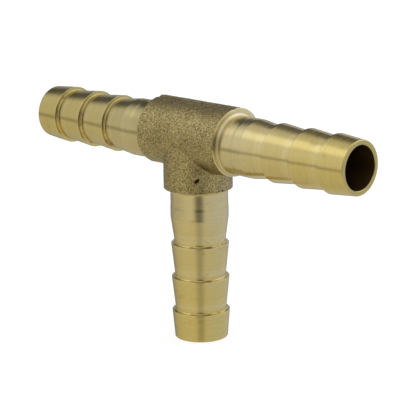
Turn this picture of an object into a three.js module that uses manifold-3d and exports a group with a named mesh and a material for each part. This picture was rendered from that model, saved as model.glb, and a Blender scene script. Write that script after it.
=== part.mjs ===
// A brass barbed tee that joins three lengths of flexible hose.
// A forged body holds a tee-shaped waterway. Three turned hose tails, all alike, are seated in it:
// each has a plain spigot that is pressed into a socket of the body up to the machined shoulder.
//
// Millimetres, +Z up. The run lies along X and the branch points down. The origin is the centre of
// the branch's end face, so the fitting stands on the plane z = 0.

import * as THREE from 'three';
import { mergeVertices } from 'three/addons/utils/BufferGeometryUtils.js';
import Module from 'manifold-3d';

const wasm = await Module();
wasm.setup();

// Driving dimensions of the waterway.
const BORE_RADIUS = 5.2;

// Driving dimensions of a hose tail, from its shoulder outwards.
const BARB_RADIUS = 7.0;
const NECK_RADIUS = 6.1;
const ROOT_RADIUS = 7.0;
const ROOT_LENGTH = 7.0;
const ROOT_TAPER_LENGTH = 6.5;
const BARB_PITCH = 8.35;
const FULL_BARBS = 2;
const TIP_BARB_LENGTH = 6.9;
const TIP_RADIUS = 6.4;
const TIP_CHAMFER = 0.2;
const ROOT_FILLET = 0.55;

// Driving dimensions of the seat between a tail and the body.
const SPIGOT_RADIUS = 6.25;
const SPIGOT_LENGTH = 5.0;
const SPIGOT_CHAMFER = 0.3;
const SEAT_CLEARANCE = 0.05;
const SEAT_END_GAP = 0.3;

// Driving dimensions of the forged body. Its two die halves are a little different in size, which
// leaves a low step along the top, and the forging sits higher than the waterway it was bored for.
const RUN_HALF_LENGTH = 12.45;
const BRANCH_DROP = 12.1;
const FRONT_HALF = { radius: 8.05, y: -0.25, rise: 0.52 };
const BACK_HALF = { radius: 8.2, y: 0.1, rise: 0.57 };
const STUB_RADIUS = 8.3;
const STUB_SHIFT = -0.27;

// How finely round shapes are divided.
const ROUND_SEGMENTS = 48;
const FILLET_SEGMENTS = 4;
const PAST_FACE = 1.0;

// Sizes that follow from the driving dimensions.
const BARBS_LENGTH = FULL_BARBS * BARB_PITCH + TIP_BARB_LENGTH;
const TAIL_LENGTH = ROOT_LENGTH + ROOT_TAPER_LENGTH + BARBS_LENGTH;
const RUN_AXIS_HEIGHT = BRANCH_DROP + TAIL_LENGTH;
const SOCKET_RADIUS = SPIGOT_RADIUS + SEAT_CLEARANCE;
const SOCKET_DEPTH = SPIGOT_LENGTH + SEAT_END_GAP;

// Directions of the three ends: each turns the +Y axis of a turned shape to point out of the body.
const TOWARDS_RIGHT = new THREE.Euler(0, 0, -Math.PI / 2);
const TOWARDS_LEFT = new THREE.Euler(0, 0, Math.PI / 2);
const TOWARDS_BRANCH = new THREE.Euler(-Math.PI / 2, 0, 0);

const turnedBrass = new THREE.MeshStandardMaterial({
  color: 0xc8b06a,
  roughness: 0.35,
  metalness: 1.0,
});

const forgedBrass = new THREE.MeshStandardMaterial({
  color: 0x8a744a,
  roughness: 0.7,
  metalness: 0.85,
});

function toSolid(geometry) {
  const bare = geometry.clone();
  bare.deleteAttribute('normal');
  bare.deleteAttribute('uv');
  const merged = mergeVertices(bare);
  const mesh = new wasm.Mesh({
    numProp: 3,
    vertProperties: new Float32Array(merged.attributes.position.array),
    triVerts: new Uint32Array(merged.index.array),
  });
  return new wasm.Manifold(mesh);
}

function toGeometry(solid) {
  const mesh = solid.getMesh();
  const geometry = new THREE.BufferGeometry();
  geometry.setAttribute('position', new THREE.BufferAttribute(mesh.vertProperties, 3));
  geometry.setIndex(new THREE.BufferAttribute(mesh.triVerts, 1));
  geometry.computeVertexNormals();
  return geometry;
}

// A solid of revolution about +Y from a list of [radius, distance along the axis].
function turned(profile) {
  const points = profile.map(([radius, distance]) => new THREE.Vector2(radius, distance));
  return new THREE.LatheGeometry(points, ROUND_SEGMENTS);
}

// The concave fillet between the shoulder face and the tail's root, from its foot upwards.
function filletProfile() {
  const foot = ROOT_RADIUS + ROOT_FILLET;
  const points = [];
  for (let i = 0; i <= FILLET_SEGMENTS; i += 1) {
    const angle = (Math.PI / 2) * (i / FILLET_SEGMENTS);
    points.push([foot - ROOT_FILLET * Math.sin(angle), ROOT_FILLET * (1 - Math.cos(angle))]);
  }
  return points;
}

// The teeth of a tail: a square step that faces the body, then a taper towards the tip.
function barbProfile() {
  const points = [];
  let start = ROOT_LENGTH + ROOT_TAPER_LENGTH;
  for (let i = 0; i < FULL_BARBS; i += 1) {
    points.push([NECK_RADIUS, start], [BARB_RADIUS, start]);
    start += BARB_PITCH;
  }
  points.push([NECK_RADIUS, start], [BARB_RADIUS, start]);
  return points;
}

// A hose tail about +Y, with its shoulder face at y = 0 and its spigot below that.
function makeTail() {
  const profile = [
    [BORE_RADIUS, -SPIGOT_LENGTH],
    [SPIGOT_RADIUS - SPIGOT_CHAMFER, -SPIGOT_LENGTH],
    [SPIGOT_RADIUS, -SPIGOT_LENGTH + SPIGOT_CHAMFER],
    [SPIGOT_RADIUS, 0],
    ...filletProfile(),
    [ROOT_RADIUS, ROOT_LENGTH],
    ...barbProfile(),
    [TIP_RADIUS, TAIL_LENGTH - TIP_CHAMFER],
    [TIP_RADIUS - TIP_CHAMFER, TAIL_LENGTH],
    [BORE_RADIUS, TAIL_LENGTH],
    [BORE_RADIUS, -SPIGOT_LENGTH],
  ];
  return turned(profile);
}

// The barrel of the body along X, as the outline of its two die halves.
function makeBarrel() {
  const outline = new THREE.Shape();
  const quarter = Math.PI / 2;
  // In the outline x is the body's y and y is its height over the waterway's axis.
  outline.absarc(BACK_HALF.y, BACK_HALF.rise, BACK_HALF.radius, -quarter, quarter, false);
  outline.absarc(FRONT_HALF.y, FRONT_HALF.rise, FRONT_HALF.radius, quarter, 3 * quarter, false);
  outline.closePath();
  const geometry = new THREE.ExtrudeGeometry(outline, {
    depth: 2 * RUN_HALF_LENGTH,
    steps: 1,
    bevelEnabled: false,
    curveSegments: ROUND_SEGMENTS / 2,
  });
  geometry.translate(0, 0, -RUN_HALF_LENGTH);
  // The extrusion runs along Z: turn it to X, with the outline's y as the height.
  geometry.applyMatrix4(
    new THREE.Matrix4().makeBasis(
      new THREE.Vector3(0, 1, 0),
      new THREE.Vector3(0, 0, 1),
      new THREE.Vector3(1, 0, 0),
    ),
  );
  return toSolid(geometry);
}

// The stub that carries the branch, from the widest height of the barrel down to its shoulder.
function makeStub() {
  const geometry = turned([
    [0, -BACK_HALF.rise],
    [STUB_RADIUS, -BACK_HALF.rise],
    [STUB_RADIUS, BRANCH_DROP],
    [0, BRANCH_DROP],
  ]);
  geometry.applyMatrix4(new THREE.Matrix4().makeRotationFromEuler(TOWARDS_BRANCH));
  geometry.translate(STUB_SHIFT, 0, 0);
  return toSolid(geometry);
}

// The run's waterway and its two sockets, as one stepped bar along X.
function makeRunWaterway() {
  const end = RUN_HALF_LENGTH + PAST_FACE;
  const step = RUN_HALF_LENGTH - SOCKET_DEPTH;
  const geometry = turned([
    [0, -end],
    [SOCKET_RADIUS, -end],
    [SOCKET_RADIUS, -step],
    [BORE_RADIUS, -step],
    [BORE_RADIUS, step],
    [SOCKET_RADIUS, step],
    [SOCKET_RADIUS, end],
    [0, end],
  ]);
  geometry.applyMatrix4(new THREE.Matrix4().makeRotationFromEuler(TOWARDS_RIGHT));
  return toSolid(geometry);
}

// The branch's waterway and its socket, from the run's axis down.
function makeBranchWaterway() {
  const end = BRANCH_DROP + PAST_FACE;
  const step = BRANCH_DROP - SOCKET_DEPTH;
  const geometry = turned([
    [0, 0],
    [BORE_RADIUS, 0],
    [BORE_RADIUS, step],
    [SOCKET_RADIUS, step],
    [SOCKET_RADIUS, end],
    [0, end],
  ]);
  geometry.applyMatrix4(new THREE.Matrix4().makeRotationFromEuler(TOWARDS_BRANCH));
  return toSolid(geometry);
}

// The body about the crossing of the run's and the branch's axes.
function makeBody() {
  const waterway = makeRunWaterway().add(makeBranchWaterway());
  return toGeometry(makeBarrel().add(makeStub()).subtract(waterway));
}

function namedMesh(name, geometry, material) {
  const mesh = new THREE.Mesh(geometry, material);
  mesh.name = name;
  return mesh;
}

const TAILS = [
  { name: 'left_hose_tail', turn: TOWARDS_LEFT, seat: [-RUN_HALF_LENGTH, 0, 0] },
  { name: 'right_hose_tail', turn: TOWARDS_RIGHT, seat: [RUN_HALF_LENGTH, 0, 0] },
  { name: 'branch_hose_tail', turn: TOWARDS_BRANCH, seat: [0, 0, -BRANCH_DROP] },
];

// Everything is built about the crossing of the axes, and the group lifts it onto z = 0.
const tee = new THREE.Group();
tee.position.set(0, 0, RUN_AXIS_HEIGHT);
tee.add(namedMesh('tee_body', makeBody(), forgedBrass));

for (const { name, turn, seat } of TAILS) {
  const tail = namedMesh(name, makeTail(), turnedBrass);
  tail.rotation.copy(turn);
  tail.position.set(...seat);
  tee.add(tail);
}

export default tee;
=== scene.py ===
import math

import bmesh
import bpy
import numpy as np
from mathutils import Matrix, Quaternion, Vector, noise


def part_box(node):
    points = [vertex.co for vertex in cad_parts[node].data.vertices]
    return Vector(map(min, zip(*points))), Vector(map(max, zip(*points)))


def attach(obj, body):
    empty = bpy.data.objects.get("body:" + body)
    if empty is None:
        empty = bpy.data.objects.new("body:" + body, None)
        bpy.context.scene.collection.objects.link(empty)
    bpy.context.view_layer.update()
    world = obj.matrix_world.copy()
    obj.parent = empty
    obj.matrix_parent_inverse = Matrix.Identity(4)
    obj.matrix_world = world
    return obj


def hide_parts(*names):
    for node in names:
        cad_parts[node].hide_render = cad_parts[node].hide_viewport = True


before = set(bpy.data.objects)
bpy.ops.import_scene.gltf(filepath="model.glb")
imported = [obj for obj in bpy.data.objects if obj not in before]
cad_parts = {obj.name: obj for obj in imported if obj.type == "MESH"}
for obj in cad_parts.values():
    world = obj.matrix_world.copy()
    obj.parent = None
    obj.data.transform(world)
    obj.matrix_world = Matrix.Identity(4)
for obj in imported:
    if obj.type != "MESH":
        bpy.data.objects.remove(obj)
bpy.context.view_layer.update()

# Lengths below are in millimetres about the crossing of the run's and the branch's axes, unless
# a name says otherwise. MM turns them into the frame's metres.
MM = 0.001

# ---------------------------------------------------------------- sizes, from the frame


def box_mm(node):
    low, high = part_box(node)
    return np.array(low) / MM, np.array(high) / MM


BODY_LOW, BODY_HIGH = box_mm("tee_body")
TAIL_LOW, TAIL_HIGH = box_mm("right_hose_tail")
AXIS_HEIGHT = (TAIL_LOW[2] + TAIL_HIGH[2]) / 2
RUN_HALF = BODY_HIGH[0]
BRANCH_DROP = AXIS_HEIGHT - BODY_LOW[2]
TAIL_LENGTH = TAIL_HIGH[0] - RUN_HALF
SPIGOT_LENGTH = RUN_HALF - TAIL_LOW[0]
FOOT = TAIL_HIGH[1] - 0.03  # the broken edge at the foot of a tail

# ---------------------------------------------------------------- sizes of the tails, as radii

BORE = 5.2
SPIGOT = 6.25
SPIGOT_CHAMFER = 0.3
BARB = 7.0
NECK = 6.1
TIP = 6.4
ROOT = 7.0
RELIEF = 6.94  # the root is turned slightly smaller next to the shoulder
RELIEF_LENGTH = 3.9
RELIEF_RISE = 0.7  # the length over which the root comes up to its full size
ROOT_LENGTH = 7.0
TAPER_LENGTH = 6.5
PITCH = 8.35
BARBS_AT = ROOT_LENGTH + TAPER_LENGTH + PITCH * np.arange(3)
MOUTH = 2.0  # the length of bore that is divided finely, next to the tip
OUTER = BORE + 0.3  # whatever is further from the axis is on the outside
ROUND = 192  # divisions around a tail
FINE_STEP = 0.45  # the longest step along the outside of a tail

# ---------------------------------------------------------------- sizes of the body

FRONT = (8.05, -0.25, 0.52)  # the front die half's radius, y and rise
BACK = (8.2, 0.1, 0.57)
SEAM_WIDTH = 0.7  # how wide the change is from one die half to the other
SEAM_DIP = (-0.10, -0.5, 0.4)  # height, place and width of the groove along the top
FLASH = (0.05, 0.4, 0.35)  # the same for the trimmed flash
STUB = 8.29
STUB_X = -0.27
FILLET = 1.0  # where the stub meets the barrel
EDGE = 0.12  # the broken edges of the machined shoulders
SOCKET = 6.3
SOCKET_DEPTH = SPIGOT_LENGTH + 0.3
BRANCH_FLOOR = SOCKET_DEPTH - BRANCH_DROP
SECTION = 256  # divisions around the barrel
ALONG = 124  # divisions along the barrel
UP_THE_STUB = 84  # divisions from the stub's shoulder to the barrel's middle


# ---------------------------------------------------------------- meshes


class Grids:
    """Grids of points that become one mesh. Points that meet are merged when it is made."""

    def __init__(self):
        self.points, self.quads, self.corners, self.slots = [], [], [], []
        self.count = 0

    def add(self, rows, slot=0, closed=False):
        """Adds an array (rows, columns, 3). closed joins the last column to the first. The UV
        map's u is the length down the rows and v is the length across the columns."""
        rows = np.asarray(rows, float)
        n, m = rows.shape[:2]
        index = self.count + np.arange(n * m).reshape(n, m)
        if closed:
            index = np.hstack([index, index[:, :1]])
            rows = np.concatenate([rows, rows[:, :1]], 1)
        down = np.linalg.norm(np.diff(rows, axis=0), axis=2).mean(1)
        across = np.linalg.norm(np.diff(rows, axis=1), axis=2).mean(0)
        u = np.concatenate([[0], np.cumsum(down)])
        v = np.concatenate([[0], np.cumsum(across)])
        corner = np.stack(np.broadcast_arrays(u[:, None], v[None, :]), -1)

        def around(grid):
            parts = (grid[:-1, :-1], grid[:-1, 1:], grid[1:, 1:], grid[1:, :-1])
            return np.stack(parts, 2).reshape(-1, 4, *grid.shape[2:])

        self.points.append(rows[:, :m].reshape(-1, 3))
        self.quads.append(around(index))
        self.corners.append(around(corner))
        self.slots.append(np.full(len(self.quads[-1]), slot))
        self.count += n * m

    def make(self, name, materials, close=None):
        """An object in millimetres. close, if given, adds the faces that the grids leave out."""
        mesh = bpy.data.meshes.new(name)
        quads = np.concatenate(self.quads)
        mesh.from_pydata(np.concatenate(self.points).tolist(), [], quads.tolist())
        mesh.uv_layers.new(name="lengths")
        flat = np.concatenate(self.corners).astype(np.float32).ravel()
        mesh.uv_layers[0].data.foreach_set("uv", flat)
        mesh.polygons.foreach_set("material_index", np.concatenate(self.slots))
        for material in materials:
            mesh.materials.append(material)
        work = bmesh.new()
        work.from_mesh(mesh)
        bmesh.ops.remove_doubles(work, verts=work.verts, dist=0.001)
        if close:
            close(work)
        bmesh.ops.recalc_face_normals(work, faces=work.faces)
        work.to_mesh(mesh)
        work.free()
        piece = bpy.data.objects.new(name, mesh)
        bpy.context.scene.collection.objects.link(piece)
        return piece


def get_points(piece):
    points = np.empty(len(piece.data.vertices) * 3, np.float32)
    piece.data.vertices.foreach_get("co", points)
    return points.reshape(-1, 3).astype(float)


def place(piece, points, node, sharp_degrees):
    lifted = (points + [0, 0, AXIS_HEIGHT]) * MM
    piece.data.vertices.foreach_set("co", lifted.astype(np.float32).ravel())
    piece.data.shade_smooth()
    piece.data.set_sharp_from_angle(angle=math.radians(sharp_degrees))
    piece.data.update()
    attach(piece, "root")
    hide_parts(node)


def add_number(piece, name, values):
    """A number at each vertex, which the materials read by name."""
    layer = piece.data.attributes.new(name, "FLOAT", "POINT")
    layer.data.foreach_set("value", np.asarray(values, np.float32))


def smooth(t):
    """A smooth rise from 0 to 1 as t goes from 0 to 1."""
    t = np.clip(t, 0, 1)
    return t * t * (3 - 2 * t)


def bell(distance, width):
    """1 at distance 0, falling off over width."""
    return np.exp(-((distance / width) ** 2))


# ---------------------------------------------------------------- the turned tails


def rounded(corners, step):
    """Points (distance, radius) through corners (distance, radius, rounding), with each corner
    rounded to its radius and points no further apart than step."""
    line = []
    last = len(corners) - 1
    for i, (s, r, rounding) in enumerate(corners):
        here = np.array([s, r])
        if i in (0, last) or rounding == 0:
            line.append(here)
            continue
        back = np.array(corners[i - 1][:2]) - here
        ahead = np.array(corners[i + 1][:2]) - here
        back_length, ahead_length = np.linalg.norm(back), np.linalg.norm(ahead)
        back, ahead = back / back_length, ahead / ahead_length
        half = math.acos(np.clip(back @ ahead, -1, 1)) / 2
        cut = min(rounding / math.tan(half), 0.48 * back_length, 0.48 * ahead_length)
        radius = cut * math.tan(half)
        middle = (back + ahead) / np.linalg.norm(back + ahead)
        centre = here + middle * radius / math.sin(half)
        start, end = here + back * cut - centre, here + ahead * cut - centre
        turn = math.pi - 2 * half
        pieces = max(2, math.ceil(turn / math.radians(18)))
        for k in range(pieces + 1):
            t = k / pieces
            ray = start * math.sin((1 - t) * turn) + end * math.sin(t * turn)
            line.append(centre + ray / math.sin(turn))
    points = [line[0]]
    for a, b in zip(line, line[1:]):
        parts = max(1, math.ceil(np.linalg.norm(b - a) / step))
        points += [a + (b - a) * k / parts for k in range(1, parts + 1)]
    return np.array(points)


def tail_outline():
    """A tail's outside from its shoulder to its tip, as corners (distance, radius, rounding)."""
    corners = [
        (0, FOOT, 0),
        (0.06, FOOT, 0.05),
        (0.46, RELIEF, 0.1),
        (RELIEF_LENGTH, RELIEF, 0.9),
        (RELIEF_LENGTH + RELIEF_RISE, ROOT, 0.9),
        (ROOT_LENGTH, ROOT, 1.5),
    ]
    for start in BARBS_AT:
        corners += [(start, NECK, 0.4), (start + 0.03, BARB, 0.12)]
    corners += [
        (TAIL_LENGTH - 0.16, TIP, 0.12),
        (TAIL_LENGTH, TIP - 0.2, 0.1),
        (TAIL_LENGTH, BORE + 0.14, 0.05),
        (TAIL_LENGTH - 0.14, BORE, 0.08),
        (TAIL_LENGTH - MOUTH, BORE, 0),
    ]
    return corners


def tail_profile():
    """A tail's closed profile (distance, radius): the outside, then the bore and the spigot."""
    outside = rounded(tail_outline(), FINE_STEP)
    bore = rounded([(TAIL_LENGTH - MOUTH, BORE, 0), (-SPIGOT_LENGTH, BORE, 0)], 3)
    spigot = [
        (-SPIGOT_LENGTH, SPIGOT - SPIGOT_CHAMFER),
        (SPIGOT_CHAMFER - SPIGOT_LENGTH, SPIGOT),
        (0, SPIGOT),
        (0, FOOT),
    ]
    return np.concatenate([outside, bore[1:], spigot])


# The lathe's marks along a tail: depth, marks per millimetre and the noise's own offset.
TOOL_MARKS = ((0.008, 0.35, 0), (0.002, 2.1, 5))


def tool_marks(distance, radius, seed):
    """How much the lathe left on or took off at each distance along a tail."""
    marks = np.zeros(len(distance))
    for depth, rate, offset in TOOL_MARKS:
        marks += [depth * noise.noise(Vector((s * rate, seed, offset))) for s in distance]
    outside = (radius > OUTER) & (distance > 0.7) & (distance < TAIL_LENGTH - 0.1)
    return np.where(outside, marks, 0)


# Each tail's outward axis, the direction across it that counts as up, the distance to its
# shoulder, and how much painted shade it gets on its upper side and by its shoulder.
TAILS = {
    "left_hose_tail": ((-1, 0, 0), (0, 0, 1), RUN_HALF, 0.28),
    "right_hose_tail": ((1, 0, 0), (0, 0, 1), RUN_HALF, 0.0),
    "branch_hose_tail": ((0, 0, -1), (1, 0, 0), BRANCH_DROP, 0.0),
}


def make_tail(node, seed, material):
    """One turned tail in place of its CAD node."""
    axis, up, seat, painted_shade = TAILS[node]
    axis, up = np.array(axis, float), np.array(up, float)
    profile = tail_profile()
    distance = profile[:, 0]
    radius = profile[:, 1] + tool_marks(distance, profile[:, 1], seed)
    angles = 2 * math.pi * np.arange(ROUND) / ROUND
    ring = np.outer(np.cos(angles), [0, -1, 0]) + np.outer(np.sin(angles), up)
    grids = Grids()
    grids.add((seat + distance)[:, None, None] * axis + radius[:, None, None] * ring, closed=True)
    piece = grids.make("turned_" + node, [material])

    points = get_points(piece)
    out = points @ axis - seat
    from_axis = np.linalg.norm(points - np.outer(points @ axis, axis), axis=1)
    outside = from_axis > OUTER
    # Barbs wear at the crest, necks rub, and corners before steps get stain and painted shade.
    past_step = out[:, None] - BARBS_AT
    crest = bell(past_step - 0.15, 0.35).max(1) * smooth((from_axis - 6.8) / 0.15)
    hollow = bell(past_step + 0.08, 0.15).max(1) * smooth((6.5 - from_axis) / 0.2)
    neck = bell(past_step + 1.7, 0.9).max(1)
    # The edge at the foot gets a painted highlight above and painted shade below, and lift
    # tells above from below.
    foot = smooth((from_axis - RELIEF) / 0.25) * (np.abs(out) < 0.75)
    lift = points @ up / np.maximum(from_axis, 1)
    raised = smooth(2 * lift - 0.4)
    add_number(piece, "along", out)
    add_number(piece, "crest", (0.25 * crest + 0.3 * neck + foot * raised) * outside)
    add_number(piece, "hollow", hollow * outside)
    add_number(piece, "inside", (from_axis < BORE + 0.02) & (out < TAIL_LENGTH - 0.13))
    add_number(piece, "parted", (out > TAIL_LENGTH - 0.02) * 1.0)
    # Painted shade on the left tail's upper side and root, and on the underside of the foot's edge.
    painted_shade = painted_shade * (smooth(lift * 2.5) + bell(out, ROOT_LENGTH)) + 0.4 * foot * (1 - raised)
    add_number(piece, "painted_shade", painted_shade * outside)
    place(piece, points, node, 40)


# ---------------------------------------------------------------- the forged body's shape


def reach(direction, half):
    """Distance from (0, BACK rise) to a die half's circle in each direction (y, z)."""
    radius, y, z = half
    offset = np.array([y, z - BACK[2]])
    along = direction @ offset
    return along + np.sqrt(radius**2 - offset @ offset + along**2)


def barrel_radius(direction):
    """Distance from (0, BACK rise) to the barrel's skin in each direction (y, z): the two die
    halves, the step where they meet, and the trimmed flash along it."""
    front, back = reach(direction, FRONT), reach(direction, BACK)
    y = direction[..., 0] * front
    share = smooth(y / SEAM_WIDTH + 0.5)
    top = smooth(direction[..., 1] * 2)
    seam = sum(height * bell(y - middle, width) for height, middle, width in (SEAM_DIP, FLASH))
    return front + (back - front) * share + seam * top


def barrel_distance(p):
    y, z = p[..., 1], p[..., 2] - BACK[2]
    length = np.maximum(np.hypot(y, z), 1e-6)
    return length - barrel_radius(np.stack([y / length, z / length], -1))


def skin_distance(p):
    """Signed distance to the skin: the barrel and the stub, with a rolling-ball fillet."""
    barrel = barrel_distance(p)
    from_run = np.maximum(np.hypot(p[..., 1], p[..., 2] - BACK[2]), 1e-6)
    from_branch = np.maximum(np.hypot(p[..., 0] - STUB_X, p[..., 1]), 1e-6)
    stub = from_branch - STUB
    # lean is the cosine of the angle between the two surfaces' directions.
    lean = np.clip(p[..., 1] / from_branch * p[..., 1] / from_run, -0.999, 0.999)
    a, b = barrel - FILLET, stub - FILLET
    between = (a < b * lean) & (b < a * lean) & (p[..., 2] < 0)
    ball = np.sqrt(np.maximum((a * a + b * b - 2 * a * b * lean) / (1 - lean**2), 0))
    plain = np.where(p[..., 2] < 0.2, np.minimum(barrel, stub), barrel)
    return np.where(between, FILLET - ball, plain)


def skin_normal(p):
    step = 0.002
    gradient = [skin_distance(p + step * e) - skin_distance(p - step * e) for e in np.eye(3)]
    gradient = np.stack(gradient, -1)
    return gradient / np.maximum(np.linalg.norm(gradient, axis=-1, keepdims=True), 1e-9)


def onto_skin(p, flat=False):
    """Moves points onto the skin, or at their own height if flat."""
    for _ in range(8):
        normal = skin_normal(p)
        if flat:
            normal[..., 2] = 0
            normal /= np.maximum(np.linalg.norm(normal, axis=-1, keepdims=True), 1e-9)
        p = p - normal * skin_distance(p)[..., None]
    return p


def barrel_ring(x, angles):
    """Points of the barrel's outline at x in the directions angles about the run's axis, where
    0 is down and a quarter turn is the back."""
    out = np.stack([np.sin(angles), -np.cos(angles)], -1)
    length = np.full(np.shape(angles), BACK[0])
    xs = np.broadcast_to(x, length.shape)[..., None]
    for _ in range(12):
        ring = np.concatenate([xs, out * length[..., None]], -1)
        length = length - barrel_distance(ring)
    return ring


QUARTER = math.pi / 2
AROUND = 2 * math.pi * np.arange(SECTION) / SECTION
LOWER = np.linspace(-QUARTER, QUARTER, SECTION // 2 + 1)
UPPER = np.linspace(QUARTER, 3 * QUARTER, SECTION // 2 + 1)
SKIN_END = RUN_HALF - EDGE
XS = np.linspace(-SKIN_END, SKIN_END, ALONG + 1)


def lower_rim():
    """The edge of the skin's lower half, once around: the front line from left to right, the
    right end from front to back, the back line and the left end."""
    front = barrel_ring(XS, np.full(ALONG + 1, -QUARTER))
    right = barrel_ring(SKIN_END, LOWER)
    back = barrel_ring(XS[::-1], np.full(ALONG + 1, QUARTER))
    left = barrel_ring(-SKIN_END, LOWER[::-1])
    return np.concatenate([front[:-1], right[:-1], back[:-1], left[:-1]])


def under_barrel(along, end):
    """Points on the barrel's underside over the line from along[0] to along[-1], to end."""
    half = FRONT if end[1] < 0 else BACK
    across = np.maximum(half[0] ** 2 - (along[:, 1] - half[1]) ** 2, 0)
    height = np.minimum(half[2] - np.sqrt(across), 0)
    return np.concatenate([np.column_stack([along, height])[:-1], [end]])


def lower_skin():
    """Rows of points from the stub's lower edge, up the stub, round the fillet and out along
    the barrel to the rim. Each column lies in an upright plane through the stub's axis."""
    samples = 300
    rim = lower_rim()
    columns = []
    for end in rim:
        way = end[:2] - [STUB_X, 0]
        length = np.linalg.norm(way)
        out = np.linspace(min(STUB, length), length, samples)
        under = under_barrel([STUB_X, 0] + np.outer(out, way / length), end)
        rise = np.linspace(EDGE - BRANCH_DROP, under[0, 2], samples)
        wall = np.column_stack([np.full((samples, 2), under[0, :2]), rise])
        path = np.concatenate([wall[:-1], under])
        run = np.concatenate([[0], np.cumsum(np.linalg.norm(np.diff(path, axis=0), axis=1))])
        at = np.linspace(0, run[-1], UP_THE_STUB + 1)
        columns.append(np.column_stack([np.interp(at, run, path[:, k]) for k in range(3)]))
    rows = np.stack(columns, 1)
    return np.concatenate([onto_skin(rows[:1], flat=True), onto_skin(rows[1:-1]), rim[None]])


def upper_skin():
    """Rows of points over the top of the barrel, from the back line to the front line."""
    return np.stack([barrel_ring(XS, np.full(ALONG + 1, angle)) for angle in UPPER])


def between_rings(a, b, count):
    return [a + (b - a) * t for t in np.linspace(0, 1, count)]


def run_ring(x, radius):
    """A ring about the run's axis, from its lowest point towards the back."""
    return np.column_stack([np.full(SECTION, x), radius * np.sin(AROUND), -radius * np.cos(AROUND)])


def add_run_end(grids, side):
    """One end of the run: the broken edge, the machined face, the socket and the bore."""
    outline = barrel_ring(side * SKIN_END, AROUND)
    edge = outline - EDGE * run_ring(0, 1)
    edge[:, 0] = side * RUN_HALF
    grids.add([outline, edge], 1, closed=True)
    grids.add(between_rings(edge, run_ring(side * RUN_HALF, SOCKET), 7), 1, closed=True)
    floor = RUN_HALF - SOCKET_DEPTH
    socket = [run_ring(side * at, SOCKET) for at in (RUN_HALF, floor)]
    grids.add([*socket, run_ring(side * floor, BORE)], 1, closed=True)
    inner = run_ring(0, BORE)
    inner[:, 0] = side * BORE * np.maximum(np.cos(AROUND), 0)
    grids.add(between_rings(run_ring(side * floor, BORE), inner, 9), 2, closed=True)


def add_branch_end(grids, rim):
    """The branch's end, below the skin's lower edge, and the branch's bore."""
    away = rim[:, :2] - [STUB_X, 0]
    edge = rim.copy()
    edge[:, :2] -= EDGE * away / np.linalg.norm(away, axis=1, keepdims=True)
    edge[:, 2] = -BRANCH_DROP
    turns = np.arctan2(rim[:, 1], rim[:, 0])

    def ring(radius, z, angles):
        circle = [radius * np.cos(angles), radius * np.sin(angles)]
        return np.column_stack([*circle, np.broadcast_to(z, angles.shape)])

    socket = ring(SOCKET, -BRANCH_DROP, turns)
    grids.add([rim, edge], 1, closed=True)
    grids.add(between_rings(edge, socket, 7), 1, closed=True)
    grids.add([socket, ring(SOCKET, BRANCH_FLOOR, turns)], 1, closed=True)
    top = ring(BORE, -BORE * np.abs(np.cos(AROUND)), AROUND)
    grids.add(between_rings(top, ring(BORE, BRANCH_FLOOR, AROUND), 5), 2, closed=True)


def close_branch_floor(work):
    """Triangles between the branch's bore and the wall of its socket, at the socket's floor."""
    split = (BORE + SOCKET) / 2

    def turn(vertex):
        return math.atan2(vertex.co.y, vertex.co.x)

    open_edges = [e for e in work.edges if e.is_boundary]
    rim = {v for e in open_edges for v in e.verts if abs(v.co.z - BRANCH_FLOOR) < 0.01}
    circles = (
        sorted((v for v in rim if v.co.xy.length < split), key=turn),
        sorted((v for v in rim if v.co.xy.length > split), key=turn),
    )
    steps = sorted((turn(v), side, k) for side in (0, 1) for k, v in enumerate(circles[side]))
    here = [circles[0][-1], circles[1][-1]]
    for _, side, k in steps:
        ahead = circles[side][k]
        work.faces.new((*here, ahead)).material_index = 1
        here[side] = ahead


# Pits in the skin: place, size and depth.
PITS = (
    ((5.07, -6.35, -8.92), 0.40, 0.34),
    ((5.42, -6.06, -8.55), 0.34, 0.32),
    ((8.0, -0.34, -11.7), 0.32, 0.22),
    ((-7.0, -7.6, 2.1), 0.16, 0.08),
    ((-2.5, 7.9, 2.2), 0.25, 0.15),
    ((6.5, 7.6, -1.2), 0.20, 0.12),
)
# Where a shadow is painted on the skin in the hollow under the barrel: place and size.
SHADOW_AT, SHADOW_SIZE = (6.9, -5.6, -5.4), 1.5

# The forged unevenness, from slow to fine: height, bumps per millimetre and the noise's offset.
GRAIN = (
    (0.035, 0.28, (3.1, 0, 0)),
    (0.022, 0.9, (0, 7.7, 0)),
    (0.022, 2.3, (0, 0, 0)),
    (0.014, 4.2, (0, 0, 11.3)),
)


def grain(points):
    """The height of the forged skin at each point: unevenness and a few pits."""
    heights = np.zeros(len(points))
    for height, rate, offset in GRAIN:
        heights += [height * noise.noise(Vector(p) * rate + Vector(offset)) for p in points]
    for centre, size, depth in PITS:
        heights -= depth * bell(np.linalg.norm(points - centre, axis=1), size)
    return heights


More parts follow.
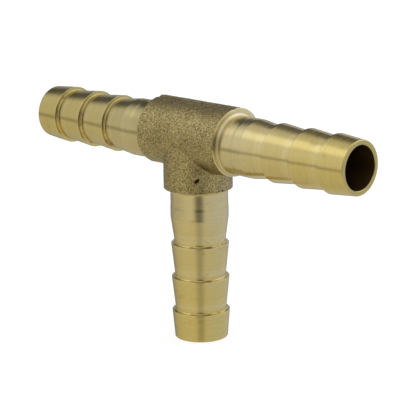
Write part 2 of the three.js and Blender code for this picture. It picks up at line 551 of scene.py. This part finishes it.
def make_body(skin, machined, bore):
    """The forged body in place of its CAD node."""
    grids = Grids()
    lower = lower_skin()
    grids.add(lower, closed=True)
    grids.add(upper_skin())
    add_run_end(grids, 1)
    add_run_end(grids, -1)
    add_branch_end(grids, lower[0])
    piece = grids.make("forged_body", [skin, machined, bore], close_branch_floor)
    points = get_points(piece)
    from_x = np.hypot(points[:, 1], points[:, 2])
    on_skin = np.abs(skin_distance(points)) < 0.02
    on_skin &= (np.abs(points[:, 0]) < SKIN_END + 0.01) & (points[:, 2] > EDGE - BRANCH_DROP - 0.01)
    on_skin &= from_x > SOCKET + 0.2
    normals = skin_normal(points)
    # At its ends the skin moves outwards only, so that the machined faces stay flat.
    normals[np.abs(points[:, 0]) > SKIN_END - 0.01, 0] = 0
    heights = grain(points) * on_skin
    add_number(piece, "height", heights)
    add_number(piece, "faced", np.ones(len(points)))
    # A painted shadow darkens the skin in the hollow under the barrel.
    away = np.linalg.norm(points - SHADOW_AT, axis=1)
    add_number(piece, "painted_shadow", bell(away, SHADOW_SIZE))
    place(piece, points + normals * heights[:, None], "tee_body", 35)


# ---------------------------------------------------------------- node trees


def add_node(tree, kind, inputs=None, **settings):
    """A node with its settings, and its inputs by name or number as values or sockets."""
    made = tree.nodes.new(kind)
    for name, value in settings.items():
        setattr(made, name, value)
    for name, value in (inputs or {}).items():
        if isinstance(value, bpy.types.NodeSocket):
            tree.links.new(value, made.inputs[name])
        else:
            made.inputs[name].default_value = value
    return made


def maths(tree, operation, *values):
    made = add_node(tree, "ShaderNodeMath", dict(enumerate(values)), operation=operation)
    return made.outputs[0]


def scaled(tree, value, low, high, to_low=0.0, to_high=1.0, kind="SMOOTHSTEP"):
    """value taken from the range low to high into the range to_low to to_high."""
    inputs = {"Value": value, "From Min": low, "From Max": high}
    inputs |= {"To Min": to_low, "To Max": to_high}
    return add_node(tree, "ShaderNodeMapRange", inputs, interpolation_type=kind).outputs[0]


def mixed(tree, share, a, b, blend="MIX"):
    """Colour a with colour b laid over it by share."""
    made = add_node(tree, "ShaderNodeMix", data_type="RGBA", blend_type=blend)
    for index, value in ((0, share), (6, a), (7, b)):
        if isinstance(value, bpy.types.NodeSocket):
            tree.links.new(value, made.inputs[index])
        else:
            made.inputs[index].default_value = (*value, 1) if index else value
    return made.outputs[2]


def number(tree, name):
    """The number that add_number gave the mesh, or 0 on a mesh without it."""
    return add_node(tree, "ShaderNodeAttribute", attribute_name=name).outputs["Fac"]


def position_mm(tree):
    """The object's own coordinates in millimetres."""
    inputs = {0: add_node(tree, "ShaderNodeTexCoord").outputs["Object"], "Scale": 1 / MM}
    return add_node(tree, "ShaderNodeVectorMath", inputs, operation="SCALE").outputs[0]


def noise_at(tree, where, size, detail=2.0, rough=0.5):
    """Noise from 0 to 1 with features about size millimetres across."""
    inputs = {"Vector": where, "Scale": 0.6 / size, "Detail": detail, "Roughness": rough}
    return add_node(tree, "ShaderNodeTexNoise", inputs).outputs[0]


def rings(tree, length, size, detail=2.0):
    """Noise from 0 to 1 along a length in millimetres, the same all the way round."""
    inputs = {"W": length, "Scale": 0.6 / size, "Detail": detail}
    return add_node(tree, "ShaderNodeTexNoise", inputs, noise_dimensions="1D").outputs[0]


def bump(tree, height, depth_mm, after=None):
    inputs = {"Height": height, "Distance": depth_mm * MM, "Strength": 1.0}
    if after:
        inputs["Normal"] = after
    return add_node(tree, "ShaderNodeBump", inputs).outputs[0]


def new_material(name):
    """A material's node tree and its Principled shader."""
    material = bpy.data.materials.new(name)
    material.use_nodes = True
    return material, material.node_tree, material.node_tree.nodes["Principled BSDF"]


# ---------------------------------------------------------------- materials

# The tails go from pale brass at the shoulder to gold brass at the tip.
PALE_BRASS = (0.645, 0.535, 0.265)
BRASS = (0.635, 0.512, 0.21)
GOLD_BRASS = (0.64, 0.507, 0.177)
FACED_BRASS = (0.76, 0.64, 0.335)  # the body's machined faces
PARTED_BRASS = (0.53, 0.43, 0.15)  # the tails' end faces
# Paler brass for crests and necks, from wear, and a painted highlight on the foot's upper edge.
WEAR_AND_HIGHLIGHT_BRASS = (0.84, 0.77, 0.55)
TARNISH = (0.42, 0.29, 0.09)
WARM, COOL = (1.04, 1.0, 0.87), (0.96, 1.0, 1.13)  # multiply a colour, from place to place
# The colour of the painted shade on the left tail and under the foot's edge.
PAINTED_SHADE_OLIVE = (0.34, 0.29, 0.12)
PIT_BLACK = (0.02, 0.015, 0.01)
# Stain with painted shade in the corners before the barbs' steps, and patches in the bores.
STAIN_AND_SHADE = (0.20, 0.12, 0.04)
# Painted shade inside the bores, in dark brown.
BORE_SHADE = (0.10, 0.045, 0.014)
GRAIN_SIZE = 0.27  # of the forged skin, in millimetres
SKIN_MID = (0.455, 0.353, 0.142)
SKIN_DARK = (0.13, 0.10, 0.04)
SKIN_LIGHT = (0.78, 0.625, 0.28)


def varied(tree, colour, share):
    """colour made a little warmer or cooler, as share goes from 0 to 1."""
    return mixed(tree, 1.0, colour, mixed(tree, share, WARM, COOL), "MULTIPLY")


def lathe_marks(tree):
    """Marks from 0 to 1: rings all the way round, and shorter arcs."""
    uv = add_node(tree, "ShaderNodeUVMap", uv_map="lengths").outputs[0]
    length = add_node(tree, "ShaderNodeSeparateXYZ", {0: uv}).outputs[0]
    whole = maths(tree, "MULTIPLY", rings(tree, length, 0.5, 4.0), 0.4)
    drawn_out = {0: uv, 1: (1, 0.12, 0)}
    drawn_out = add_node(tree, "ShaderNodeVectorMath", drawn_out, operation="MULTIPLY").outputs[0]
    arcs = noise_at(tree, drawn_out, 0.22, 3.0, 0.6)
    return maths(tree, "MULTIPLY_ADD", arcs, 0.6, whole)


def turned_brass():
    material, tree, shader = new_material("turned_brass")
    where = position_mm(tree)
    marks = lathe_marks(tree)
    spots = noise_at(tree, where, 1.6, 5.0, 0.65)
    dull = maths(tree, "MULTIPLY", scaled(tree, spots, 0.56, 0.78), 0.45)

    # The colour changes along the tail, at a length that clouds move by 4 mm either way.
    clouds = noise_at(tree, where, 5.0, 4.0)
    along = maths(tree, "SUBTRACT", number(tree, "along"), 4.0)
    along = maths(tree, "MULTIPLY_ADD", clouds, 8.0, along)
    colour = mixed(tree, scaled(tree, along, 5.0, 13.0), PALE_BRASS, BRASS)
    colour = mixed(tree, scaled(tree, along, 14.0, 30.0), colour, GOLD_BRASS)
    colour = mixed(tree, number(tree, "faced"), colour, FACED_BRASS)
    colour = mixed(tree, number(tree, "parted"), colour, PARTED_BRASS)
    # Crests and necks paler from wear, and a painted highlight on the upper side of the foot's
    # edge.
    wear_and_highlight = maths(tree, "MULTIPLY", number(tree, "crest"), 0.5)
    colour = mixed(tree, wear_and_highlight, colour, WEAR_AND_HIGHLIGHT_BRASS)
    shade = scaled(tree, marks, 0.3, 0.7, 0.92, 1.06, "LINEAR")
    grey = add_node(tree, "ShaderNodeCombineColor", {0: shade, 1: shade, 2: shade}).outputs[0]
    colour = mixed(tree, 1.0, colour, grey, "MULTIPLY")
    colour = mixed(tree, dull, colour, TARNISH)
    # Painted shade on the left tail's upper side and root, and under the foot's edge.
    colour = mixed(tree, number(tree, "painted_shade"), colour, PAINTED_SHADE_OLIVE)
    # Stain with painted shade in the corners before the steps.
    hollow = scaled(tree, spots, 0.5, 0.66, 0.05, 0.8)
    hollow = maths(tree, "MULTIPLY", number(tree, "hollow"), hollow)
    colour = mixed(tree, hollow, colour, STAIN_AND_SHADE)
    hues = noise_at(tree, where, 0.5, 3.0)
    colour = varied(tree, colour, scaled(tree, hues, 0.3, 0.7, 0.22, 0.78))
    # Painted shade: the tails' bores are painted dark brown.
    inside = maths(tree, "MULTIPLY", number(tree, "inside"), 0.92)
    colour = mixed(tree, inside, colour, BORE_SHADE)
    tree.links.new(colour, shader.inputs["Base Color"])

    rough = scaled(tree, marks, 0.3, 0.7, 0.17, 0.25, "LINEAR")
    rough = maths(tree, "MULTIPLY_ADD", dull, 0.25, rough)
    rough = maths(tree, "MULTIPLY_ADD", number(tree, "crest"), -0.05, rough)
    rough = maths(tree, "MULTIPLY_ADD", number(tree, "inside"), 0.2, rough)
    tree.links.new(rough, shader.inputs["Roughness"])
    shader.inputs["Metallic"].default_value = 1
    shader.inputs["Anisotropic"].default_value = 0.8
    tangent = add_node(tree, "ShaderNodeTangent", direction_type="UV_MAP", uv_map="lengths")
    tree.links.new(tangent.outputs[0], shader.inputs["Tangent"])
    turned = bump(tree, marks, 0.004)
    tree.links.new(bump(tree, spots, 0.006, turned), shader.inputs["Normal"])
    return material


def forged_grains(tree, where):
    """Uneven grains: the distance from each one's middle, and its own number from 0 to 1."""
    drift = maths(tree, "MULTIPLY", noise_at(tree, where, 0.5, 2.0), 0.5)
    drift = add_node(tree, "ShaderNodeCombineXYZ", {0: drift, 1: drift, 2: drift}).outputs[0]
    bent = add_node(tree, "ShaderNodeVectorMath", {0: where, 1: drift}, operation="ADD").outputs[0]
    cells = add_node(tree, "ShaderNodeTexVoronoi", {"Vector": bent, "Scale": 1 / GRAIN_SIZE})
    chance = add_node(tree, "ShaderNodeSeparateColor", {0: cells.outputs["Color"]}).outputs[0]
    return cells.outputs["Distance"], chance


def forged_brass():
    material, tree, shader = new_material("forged_brass")
    where = position_mm(tree)
    gap, chance = forged_grains(tree, where)
    speckle = noise_at(tree, where, 0.14, 2.0, 0.6)
    clouds = noise_at(tree, where, 3.0, 3.0)
    colour = mixed(tree, scaled(tree, chance, 0.1, 0.9, 0.0, 0.6), SKIN_MID, SKIN_LIGHT)
    colour = mixed(tree, scaled(tree, speckle, 0.55, 0.38, 0.0, 0.5), colour, SKIN_DARK)
    colour = mixed(tree, scaled(tree, gap, 0.45, 0.8, 0.0, 0.9), colour, SKIN_DARK)
    colour = mixed(tree, scaled(tree, clouds, 0.45, 0.7, 0.0, 0.2), colour, SKIN_DARK)
    hues = noise_at(tree, where, 0.3, 2.0)
    colour = varied(tree, colour, scaled(tree, hues, 0.3, 0.7, 0.15, 0.85))
    # A painted shadow darkens the skin in the hollow under the barrel.
    painted_shadow = scaled(tree, speckle, 0.65, 0.4, 0.3, 1.0)
    painted_shadow = maths(tree, "MULTIPLY", number(tree, "painted_shadow"), painted_shadow)
    colour = mixed(tree, painted_shadow, colour, SKIN_DARK)
    low = scaled(tree, number(tree, "height"), -0.05, -0.14)
    colour = mixed(tree, maths(tree, "MULTIPLY", low, 0.97), colour, PIT_BLACK)
    tree.links.new(colour, shader.inputs["Base Color"])
    rough = scaled(tree, gap, 0.2, 0.7, 0.22, 0.42, "LINEAR")
    tree.links.new(rough, shader.inputs["Roughness"])
    shader.inputs["Metallic"].default_value = 1
    pebbles = maths(tree, "MULTIPLY_ADD", gap, -0.6, maths(tree, "MULTIPLY", chance, 0.25))
    coarse = bump(tree, pebbles, 0.09)
    tree.links.new(bump(tree, speckle, 0.03, coarse), shader.inputs["Normal"])
    return material


def bore_brass():
    material, tree, shader = new_material("bore_brass")
    # Painted shade: the body's bore is painted dark brown, in patches.
    where = position_mm(tree)
    patches = noise_at(tree, where, 1.5, 4.0)
    colour = mixed(tree, scaled(tree, patches, 0.35, 0.7), BORE_SHADE, STAIN_AND_SHADE)
    tree.links.new(colour, shader.inputs["Base Color"])
    shader.inputs["Metallic"].default_value = 1
    shader.inputs["Roughness"].default_value = 0.5
    return material


# ---------------------------------------------------------------- studio


def heading(azimuth, elevation):
    """The direction at these degrees: azimuth 0 is the front and 90 is the right."""
    a, e = math.radians(azimuth), math.radians(elevation)
    return Vector((math.sin(a) * math.cos(e), -math.cos(a) * math.cos(e), math.sin(e)))


# The tent's brighter and darker regions: azimuth, elevation, half width and half height in
# degrees, softness, and brightness against 1 for the plain tent.
REGIONS = (
    (-44, 40, 48, 44, 0.7, 1.30),
    (-46, 52, 15, 14, 0.5, 1.55),
    (-129, 36, 29, 18, 0.3, 0.10),
    (-128, -10, 40, 24, 0.6, 0.48),
    (-86, 0, 36, 60, 0.6, 0.84),
    (42, 6, 19, 30, 0.55, 0.13),
    (-44, -8, 34, 5, 0.6, 0.58),
    (178, 44, 36, 27, 0.5, 1.75),
)
TENT = 0.71
PLAIN_WHITE = 1.1  # behind the object, where nothing is mirrored
LOW_TINT = (1.03, 1.0, 0.88)
HIGH_TINT = (0.98, 1.0, 1.06)
COOL_REGION = (140, -12, 62, 45, 0.6)  # as in REGIONS, without a brightness
COOL_TINT = (0.96, 1.02, 1.20)


def make_world():
    world = bpy.data.worlds.new("tent")
    bpy.context.scene.world = world
    world.use_nodes = True
    tree = world.node_tree
    way = add_node(tree, "ShaderNodeTexCoord").outputs["Generated"]

    def along(vector):
        inputs = {0: way, 1: vector}
        return add_node(tree, "ShaderNodeVectorMath", inputs, operation="DOT_PRODUCT").outputs[1]

    def inside(azimuth, elevation, wide, high, soft):
        """1 in directions inside a region and 0 outside it."""
        right = heading(azimuth + 90, 0) / math.sin(math.radians(wide))
        up = heading(azimuth, elevation + 90) / math.sin(math.radians(high))
        inputs = {0: along(right), 1: along(up)}
        flat = add_node(tree, "ShaderNodeCombineXYZ", inputs).outputs[0]
        away = add_node(tree, "ShaderNodeVectorMath", {0: flat}, operation="LENGTH").outputs[1]
        facing = maths(tree, "GREATER_THAN", along(heading(azimuth, elevation)), 0.0)
        return maths(tree, "MULTIPLY", scaled(tree, away, 1 + soft, 1 - soft), facing)

    light = None
    for *region, factor in REGIONS:
        gain = maths(tree, "MULTIPLY_ADD", inside(*region), factor - 1, 1.0)
        light = gain if light is None else maths(tree, "MULTIPLY", light, gain)
    height = add_node(tree, "ShaderNodeSeparateXYZ", {0: way}).outputs[2]
    tint = mixed(tree, scaled(tree, height, -0.6, 0.6), LOW_TINT, HIGH_TINT)
    tint = mixed(tree, inside(*COOL_REGION), tint, COOL_TINT)
    background = tree.nodes["Background"]
    tree.links.new(tint, background.inputs["Color"])
    plain = add_node(tree, "ShaderNodeLightPath").outputs["Is Camera Ray"]
    light = maths(tree, "MULTIPLY", light, TENT)
    strength = maths(tree, "MAXIMUM", light, maths(tree, "MULTIPLY", plain, PLAIN_WHITE))
    tree.links.new(strength, background.inputs["Strength"])


FLOOR_HALF = 3.0  # metres
FLOOR_GREY = 0.3
FLOOR_GLOW = 0.77  # lifts the floor to white, and leaves its shadows soft


def make_floor():
    """A wide pale floor. It isn't mirrored in the brass, which reflects the tent instead."""
    mesh = bpy.data.meshes.new("floor")
    corners = [(x * FLOOR_HALF, y * FLOOR_HALF, 0) for x, y in ((-1, -1), (1, -1), (1, 1), (-1, 1))]
    mesh.from_pydata(corners, [], [(0, 1, 2, 3)])
    floor = bpy.data.objects.new("floor", mesh)
    bpy.context.scene.collection.objects.link(floor)
    material, _, shader = new_material("pale_floor")
    shader.inputs["Base Color"].default_value = (FLOOR_GREY, FLOOR_GREY, FLOOR_GREY, 1)
    shader.inputs["Roughness"].default_value = 1
    shader.inputs["Specular IOR Level"].default_value = 0
    shader.inputs["Emission Color"].default_value = (1, 1, 1, 1)
    shader.inputs["Emission Strength"].default_value = FLOOR_GLOW
    mesh.materials.append(material)
    floor.visible_glossy = False


TOP_LIGHT_SIDE = 1.6  # metres
TOP_LIGHT_HEIGHT = 1.2
TOP_LIGHT_WATTS = 6.0


def make_top_light():
    """A soft light over the floor, which the brass doesn't mirror."""
    data = bpy.data.lights.new("top", "AREA")
    data.shape = "SQUARE"
    data.size = TOP_LIGHT_SIDE
    data.energy = TOP_LIGHT_WATTS
    light = bpy.data.objects.new("top", data)
    light.location = (0, 0, TOP_LIGHT_HEIGHT)
    light.visible_glossy = False
    bpy.context.scene.collection.objects.link(light)


# ---------------------------------------------------------------- camera

# Lengths are in millimetres and angles in degrees. The camera stands at DISTANCE from the
# crossing, faces it, and is then turned a little by PAN, TILT and ROLL.
LENS = 175.0
SENSOR = 36.0
DISTANCE = 481.43
AZIMUTH = 43.7044
ELEVATION = 12.5188
PAN = -0.2414
TILT = -1.9987
ROLL = 1.0075


def make_camera():
    data = bpy.data.cameras.new("camera")
    data.lens = LENS
    data.sensor_width = SENSOR
    data.clip_start = 0.01
    camera = bpy.data.objects.new("camera", data)
    out = heading(AZIMUTH, ELEVATION)
    ahead = -out
    right = ahead.cross(Vector((0, 0, 1))).normalized()
    up = right.cross(ahead)

    def turned(vector, axis, degrees):
        return Quaternion(axis, math.radians(degrees)) @ vector

    ahead, right = turned(ahead, up, PAN), turned(right, up, PAN)
    ahead, up = turned(ahead, right, TILT), turned(up, right, TILT)
    right, up = turned(right, ahead, ROLL), turned(up, ahead, ROLL)
    matrix = Matrix((right, up, -ahead)).transposed().to_4x4()
    matrix.translation = (out * DISTANCE + Vector((0, 0, AXIS_HEIGHT))) * MM
    camera.matrix_world = matrix
    bpy.context.scene.collection.objects.link(camera)
    bpy.context.scene.camera = camera


# ---------------------------------------------------------------- the scene

bpy.context.scene.view_settings.view_transform = "Standard"
turned_material = turned_brass()
make_body(forged_brass(), turned_material, bore_brass())
for count, tail_node in enumerate(TAILS):
    make_tail(tail_node, 3.7 * count + 1.3, turned_material)
make_world()
make_floor()
make_top_light()
make_camera()
